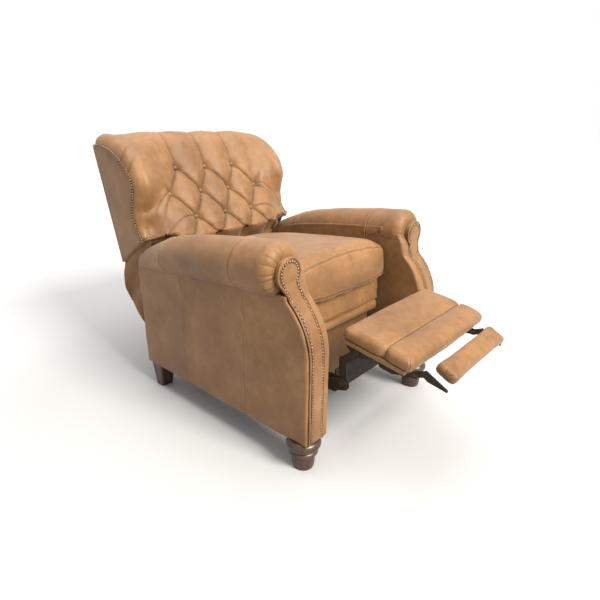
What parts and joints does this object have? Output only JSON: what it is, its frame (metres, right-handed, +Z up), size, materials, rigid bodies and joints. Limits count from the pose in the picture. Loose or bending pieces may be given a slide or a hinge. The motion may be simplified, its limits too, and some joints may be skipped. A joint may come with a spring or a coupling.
{
  "type": "recliner armchair",
  "caption": "Push-back recliner armchair with rolled arms, tufted wing back, loose cushion and a fold-out footrest on a steel linkage.",
  "frame": {"origin": "on the floor, under the middle of the open chair's box", "axes": "+Z up, the chair faces -Y, +X towards the sitter's left"},
  "size_m": [0.832, 1.366, 0.9283],
  "materials": {
    "leather_outer": "satin tan leather",
    "nails": "antique",
    "dark_wood": "satin espresso",
    "frame_wood": "raw",
    "dark_steel": "satin",
    "rivet_steel": "plain",
    "spring_steel": "oiled",
    "webbing": "woven"
  },
  "bodies": {
    "base": {"outer_side_panel_left": "leather_outer", "outer_side_panel_right": "leather_outer", "arm_roll_left": "leather_outer", "arm_roll_right": "leather_outer", "inner_arm_pad_left": "leather_outer", "inner_arm_pad_right": "leather_outer", "arm_facing_left": "leather_outer", "arm_facing_right": "leather_outer", "arm_nails": "nails", "front_foot_left": "dark_wood", "front_foot_right": "dark_wood", "rear_foot_left": "dark_wood", "rear_foot_right": "dark_wood", "foot_bolts": "rivet_steel", "arm_front_posts": "frame_wood", "arm_rear_posts": "frame_wood", "arm_bottom_rails": "frame_wood", "arm_top_rails": "frame_wood", "front_cross_rail": "frame_wood", "rear_cross_rail": "frame_wood", "base_front_panel": "leather_outer", "rear_base_panel": "leather_outer", "mechanism_rails": "dark_steel", "base_rivets": "rivet_steel"},
    "front_swing": {"front_swing_links": "dark_steel"},
    "rear_swing": {"rear_swing_links": "dark_steel"},
    "seat": {"seat_plates": "dark_steel", "seat_side_rails": "frame_wood", "seat_cross_rails": "frame_wood", "seat_springs": "spring_steel", "seat_deck": "webbing", "seat_cushion": "leather_outer", "seat_rail_pad": "leather_outer", "seat_rivets": "rivet_steel"},
    "back": {"back_pad": "leather_outer", "back_posts": "frame_wood", "back_cross_rails": "frame_wood", "back_webbing": "webbing", "outside_back_panel": "leather_outer", "wing_pad_left": "leather_outer", "wing_pad_right": "leather_outer", "wing_boards": "frame_wood", "outside_wing_left": "leather_outer", "outside_wing_right": "leather_outer", "wing_nails": "nails", "tuft_buttons": "leather_outer", "back_brackets": "dark_steel", "rear_skirt": "leather_outer"},
    "rear_leg": {"rear_leg_links": "dark_steel", "knee_rivets": "rivet_steel"},
    "front_leg": {"front_leg_links": "dark_steel"},
    "cross_frame": {"cross_plate": "dark_steel", "footrest_carriers": "dark_steel", "carrier_rivets": "rivet_steel"},
    "footrest": {"footrest_board": "frame_wood", "footrest_pad": "leather_outer", "footrest_brackets": "dark_steel", "flipper_rivets": "rivet_steel"},
    "flipper": {"flipper_pad": "leather_outer", "flipper_bars": "dark_steel"}
  },
  "joints": [
    {"name": "recline", "type": "hinge", "parent": "base", "child": "front_swing", "pos_m": [0, 0.028, 0.165], "axis": [1, 0, 0], "range_deg": [0, 25]},
    {"name": "seat_level", "type": "hinge", "parent": "front_swing", "child": "seat", "pos_m": [0, 0.05295, 0.28238], "axis": [-1, 0, 0], "range_deg": [0, 26]},
    {"name": "rear_swing_turn", "type": "hinge", "parent": "base", "child": "rear_swing", "pos_m": [0, 0.303, 0.165], "axis": [1, 0, 0], "range_deg": [0, 26]},
    {"name": "back_recline", "type": "hinge", "parent": "seat", "child": "back", "pos_m": [0, 0.428, 0.33], "axis": [-1, 0, 0], "range_deg": [0, 26], "deforming": ["rear_skirt"]},
    {"name": "footrest_fold", "type": "hinge", "parent": "seat", "child": "rear_leg", "pos_m": [0, -0.037, 0.27], "axis": [1, 0, 0], "range_deg": [0, 45.2]},
    {"name": "knee", "type": "hinge", "parent": "rear_leg", "child": "front_leg", "pos_m": [0, -0.2045, 0.21932], "axis": [-1, 0, 0], "range_deg": [0, 91.4]},
    {"name": "cross_frame_level", "type": "hinge", "parent": "front_leg", "child": "cross_frame", "pos_m": [0, -0.372, 0.27], "axis": [1, 0, 0], "range_deg": [0, 46.2]},
    {"name": "footrest_tilt", "type": "hinge", "parent": "cross_frame", "child": "footrest", "pos_m": [0, -0.41146, 0.37775], "axis": [1, 0, 0], "range_deg": [0, 81.7]},
    {"name": "flipper_fold", "type": "hinge", "parent": "footrest", "child": "flipper", "pos_m": [0, -0.57235, 0.35343], "axis": [1, 0, 0], "range_deg": [0, 181]}
  ],
  "couplings": [
    {"joint": "seat_level", "follows": "recline", "ratio": 1},
    {"joint": "rear_swing_turn", "follows": "recline", "ratio": 1},
    {"joint": "back_recline", "follows": "recline", "ratio": 1},
    {"joint": "knee", "follows": "footrest_fold", "ratio": 2},
    {"joint": "cross_frame_level", "follows": "footrest_fold", "ratio": 1},
    {"joint": "footrest_tilt", "follows": "footrest_fold", "ratio": 1.7854},
    {"joint": "flipper_fold", "follows": "footrest_fold", "ratio": 3.9823}
  ]
}
